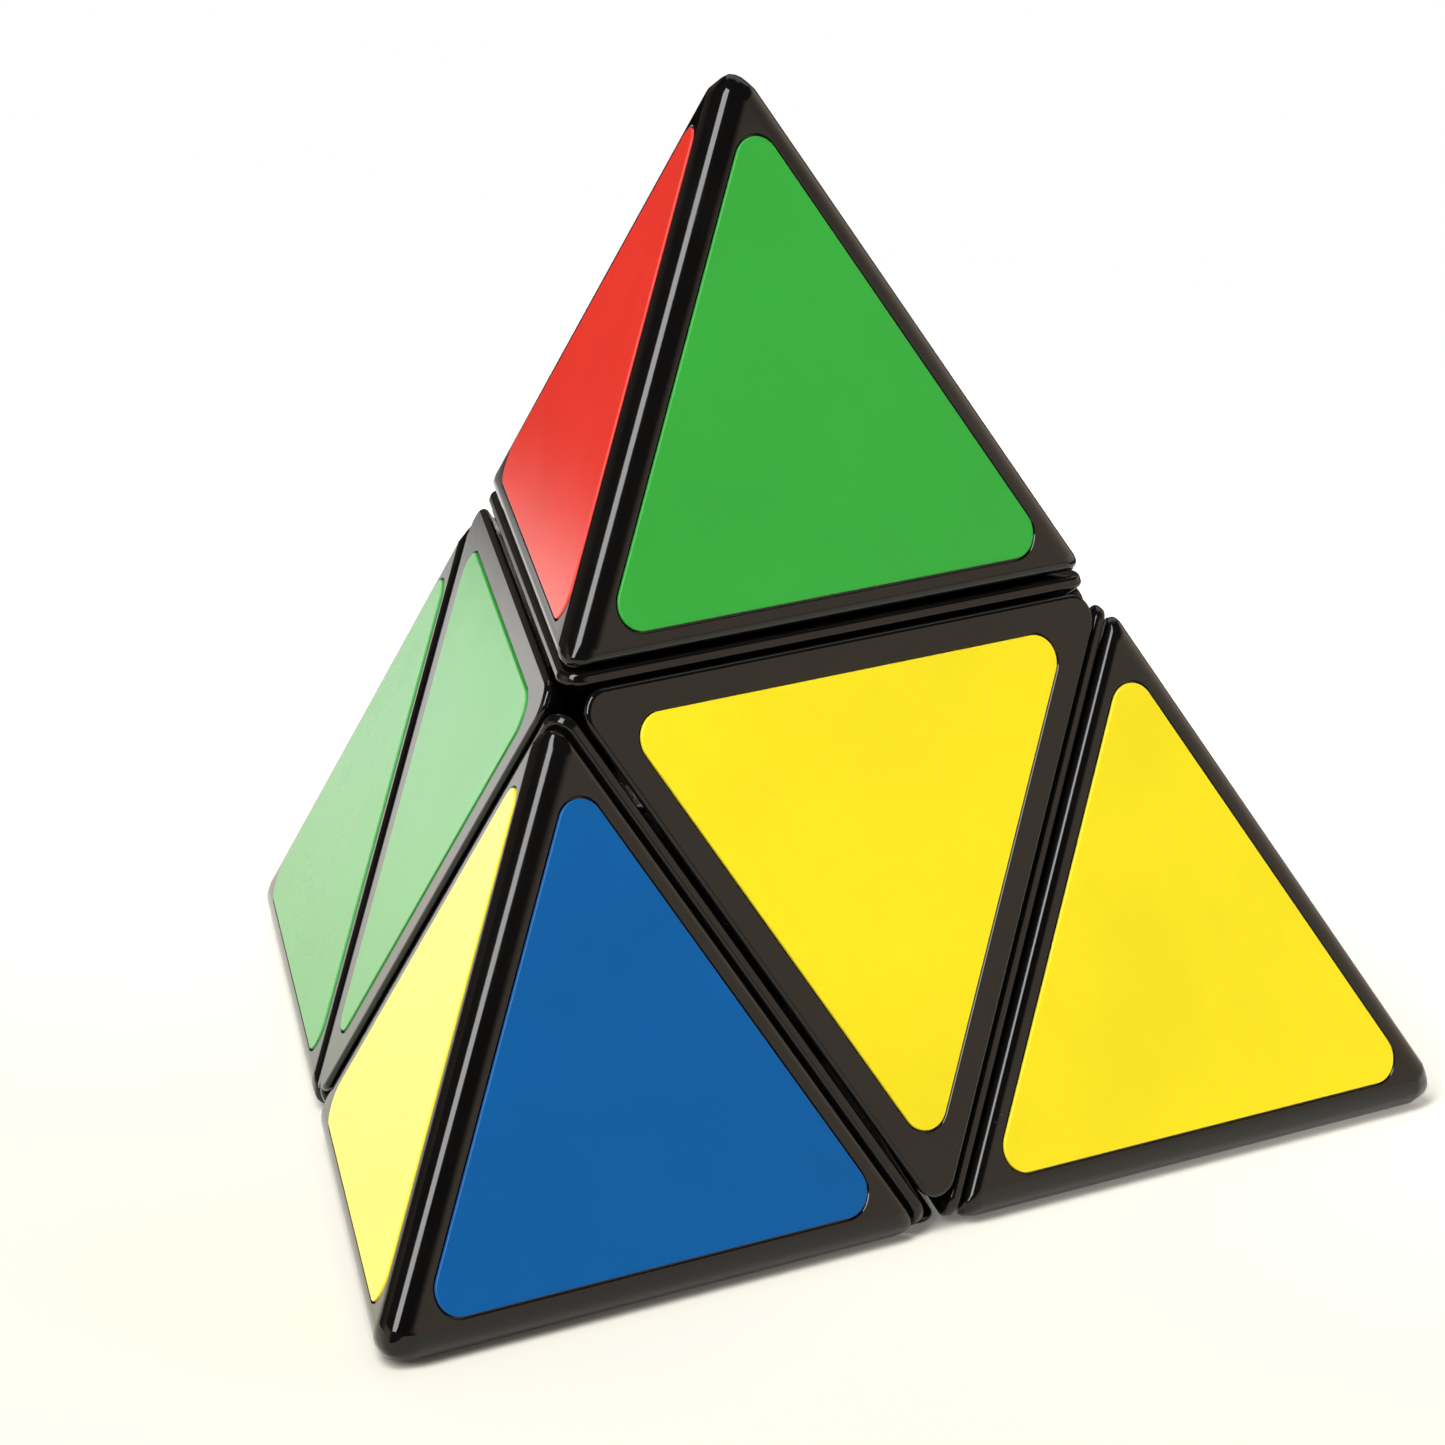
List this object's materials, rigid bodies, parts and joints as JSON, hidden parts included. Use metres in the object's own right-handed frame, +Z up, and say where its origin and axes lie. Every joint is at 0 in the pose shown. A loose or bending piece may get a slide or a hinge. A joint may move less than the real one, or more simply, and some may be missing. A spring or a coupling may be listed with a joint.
{
  "type": "pyramid twisty puzzle",
  "caption": "Pyramid puzzle of turning corner and face pieces in glossy black plastic, with four sticker colours, on a sprung core.",
  "frame": {"origin": "centre of the base face, on the outer face of the base sticker", "axes": "+Z up through the top corner, -Y towards the front corner, +X to the right of the front edge"},
  "size_m": [0.0892, 0.0779, 0.0738],
  "materials": {
    "black_cap_plastic": "glossy moulded ABS",
    "black_base_plastic": "moulded ABS, satin inside",
    "green_vinyl": "thin glossy vinyl sticker",
    "blue_vinyl": "thin glossy vinyl sticker",
    "yellow_vinyl": "thin glossy vinyl sticker",
    "red_vinyl": "thin glossy vinyl sticker",
    "inner_plastic": "plain moulded",
    "core_plastic": "plain moulded",
    "screw_steel": "zinc plated",
    "spring_steel": "bright wire"
  },
  "bodies": {
    "core": {"core": "core_plastic", "base_face_cap": "black_cap_plastic", "base_face_base": "black_base_plastic", "base_face_sticker": "blue_vinyl", "base_face_screw": "screw_steel", "front_axle_screw": "screw_steel", "front_washer": "screw_steel", "front_spring": "spring_steel", "right_axle_screw": "screw_steel", "right_washer": "screw_steel", "right_spring": "spring_steel", "left_axle_screw": "screw_steel", "left_washer": "screw_steel", "left_spring": "spring_steel"},
    "front_corner": {"front_corner_cap": "black_cap_plastic", "front_corner_base": "black_base_plastic", "front_corner_sticker_right": "blue_vinyl", "front_corner_sticker_left": "yellow_vinyl", "front_corner_sticker_base": "red_vinyl", "hidden_edge_front_corner_left_face": "inner_plastic", "hidden_edge_front_corner_right_face": "inner_plastic", "front_hub": "inner_plastic"},
    "right_corner": {"right_corner_cap": "black_cap_plastic", "right_corner_base": "black_base_plastic", "right_corner_sticker_right": "yellow_vinyl", "right_corner_sticker_back": "green_vinyl", "right_corner_sticker_base": "blue_vinyl", "hidden_edge_right_corner_back_face": "inner_plastic", "hidden_edge_right_corner_right_face": "inner_plastic", "right_hub": "inner_plastic"},
    "left_corner": {"left_corner_cap": "black_cap_plastic", "left_corner_base": "black_base_plastic", "left_corner_sticker_left": "green_vinyl", "left_corner_sticker_back": "red_vinyl", "left_corner_sticker_base": "yellow_vinyl", "hidden_edge_left_corner_back_face": "inner_plastic", "hidden_edge_left_corner_left_face": "inner_plastic", "left_hub": "inner_plastic"},
    "right_face": {"right_face_cap": "black_cap_plastic", "right_face_base": "black_base_plastic", "right_face_sticker": "yellow_vinyl", "hidden_edge_top_corner_right_face": "inner_plastic"},
    "left_face": {"left_face_cap": "black_cap_plastic", "left_face_base": "black_base_plastic", "left_face_sticker": "green_vinyl", "hidden_edge_top_corner_left_face": "inner_plastic"},
    "back_face": {"back_face_cap": "black_cap_plastic", "back_face_base": "black_base_plastic", "back_face_sticker": "red_vinyl", "hidden_edge_top_corner_back_face": "inner_plastic"},
    "top_corner": {"top_corner_cap": "black_cap_plastic", "top_corner_base": "black_base_plastic", "top_corner_sticker_right": "green_vinyl", "top_corner_sticker_left": "red_vinyl", "top_corner_sticker_back": "blue_vinyl"}
  },
  "joints": [
    {"name": "front_layer_turn", "type": "hinge", "parent": "core", "child": "front_corner", "pos_m": [0, 0, 0.01939], "axis": [0, -0.8165, 0.5774], "continuous": true},
    {"name": "right_layer_turn", "type": "hinge", "parent": "core", "child": "right_corner", "pos_m": [0, 0, 0.01939], "axis": [0.7071, 0.4082, 0.5774], "range_deg": [-360, 360]},
    {"name": "left_layer_turn", "type": "hinge", "parent": "core", "child": "left_corner", "pos_m": [0, 0, 0.01939], "axis": [-0.7071, 0.4082, 0.5774], "range_deg": [-360, 360]},
    {"name": "right_face_turn", "type": "hinge", "parent": "front_corner", "child": "right_face", "pos_m": [0, 0, 0.01939], "axis": [0.7071, 0.4082, 0.5774], "range_deg": [-360, 360]},
    {"name": "left_face_turn", "type": "hinge", "parent": "front_corner", "child": "left_face", "pos_m": [0, 0, 0.01939], "axis": [-0.7071, 0.4082, 0.5774], "range_deg": [-360, 360]},
    {"name": "back_face_turn", "type": "hinge", "parent": "right_corner", "child": "back_face", "pos_m": [0, 0, 0.01939], "axis": [-0.7071, 0.4082, 0.5774], "range_deg": [-360, 360]},
    {"name": "top_corner_turn", "type": "hinge", "parent": "right_face", "child": "top_corner", "pos_m": [0, 0, 0.01939], "axis": [-0.7071, 0.4082, 0.5774], "range_deg": [-360, 360]}
  ],
  "couplings": [
    {"joint": "right_face_turn", "follows": "right_layer_turn", "ratio": 1},
    {"joint": "left_face_turn", "follows": "left_layer_turn", "ratio": 1},
    {"joint": "back_face_turn", "follows": "left_layer_turn", "ratio": 1},
    {"joint": "top_corner_turn", "follows": "left_layer_turn", "ratio": 1}
  ]
}
